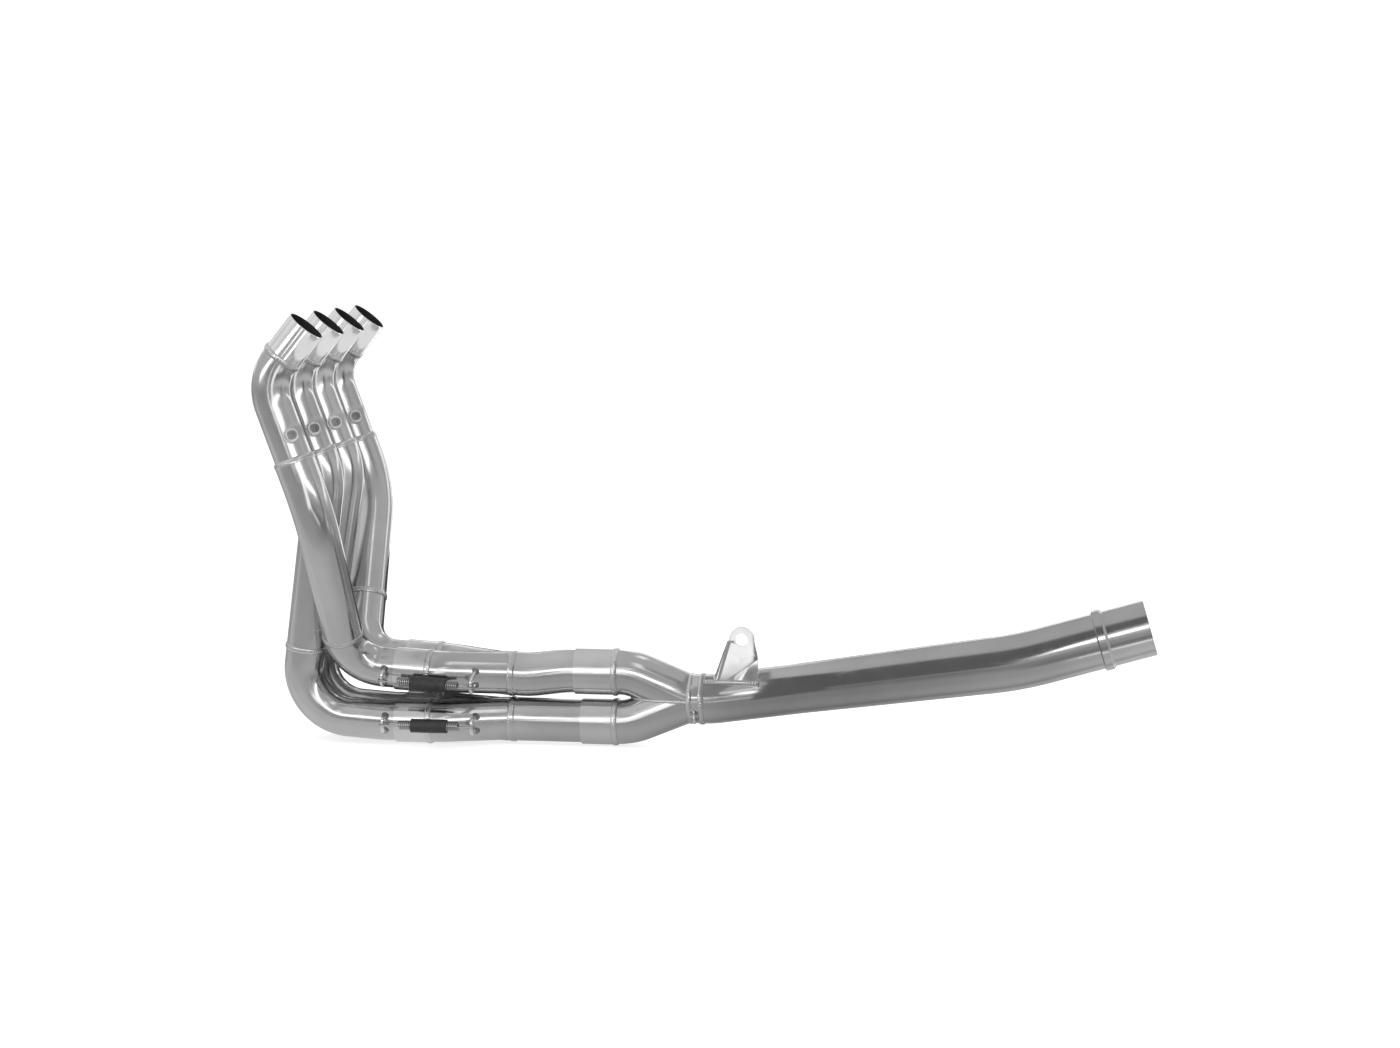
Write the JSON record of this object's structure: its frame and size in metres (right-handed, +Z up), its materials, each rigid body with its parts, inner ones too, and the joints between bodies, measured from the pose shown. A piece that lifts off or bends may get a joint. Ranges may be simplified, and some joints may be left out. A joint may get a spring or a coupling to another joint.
{
  "type": "motorcycle exhaust header",
  "caption": "Exhaust header for an inline motorcycle engine: bent primary pipes merge in stacked collectors held by springs and end in a tapered tail pipe with a hanger tab",
  "frame": {"origin": "The middle of the row of four port mouths, in the plane where the stubs end.", "axes": "+X runs rearward along the motorcycle, +Y to its right-hand side and +Z up."},
  "size_m": [0.894, 0.2852, 0.4488],
  "materials": {
    "tube_steel": "satin",
    "bright_steel": "polished",
    "hook_wire": "satin",
    "spring_wire": "bright",
    "rubber": "matte"
  },
  "bodies": {
    "root": {"port_stub_1": "bright_steel", "port_stub_2": "bright_steel", "port_stub_3": "bright_steel", "port_stub_4": "bright_steel", "hanger_bracket": "bright_steel", "sampling_plugs": "bright_steel", "spring_sleeve_1": "rubber", "spring_sleeve_2": "rubber", "spring_sleeve_3": "rubber", "spring_sleeve_4": "rubber", "spring_1": "spring_wire", "spring_2": "spring_wire", "spring_3": "spring_wire", "spring_4": "spring_wire", "pipe_hook_1": "hook_wire", "pipe_hook_2": "hook_wire", "pipe_hook_3": "hook_wire", "pipe_hook_4": "hook_wire", "collector_hook_1": "hook_wire", "collector_hook_2": "hook_wire", "collector_hook_3": "hook_wire", "collector_hook_4": "hook_wire", "collar_hook": "hook_wire", "head_bend_1": "tube_steel", "head_bend_2": "tube_steel", "head_bend_3": "tube_steel", "head_bend_4": "tube_steel", "down_pipe_1": "tube_steel", "down_pipe_2": "tube_steel", "down_pipe_3": "tube_steel", "down_pipe_4": "tube_steel", "lower_bend_1": "tube_steel", "lower_bend_2": "tube_steel", "lower_bend_3": "tube_steel", "lower_bend_4": "tube_steel", "inlet_sleeve_1": "tube_steel", "inlet_sleeve_2": "tube_steel", "inlet_sleeve_3": "tube_steel", "inlet_sleeve_4": "tube_steel", "sampling_boss_1": "tube_steel", "sampling_boss_2": "tube_steel", "sampling_boss_3": "tube_steel", "sampling_boss_4": "tube_steel", "upper_merge": "tube_steel", "lower_merge": "tube_steel", "upper_secondary": "tube_steel", "lower_secondary": "tube_steel", "upper_slip_sleeve": "tube_steel", "lower_slip_sleeve": "tube_steel", "final_collector": "tube_steel", "outlet_collar": "tube_steel", "tail_pipe": "tube_steel"}
  },
  "joints": []
}
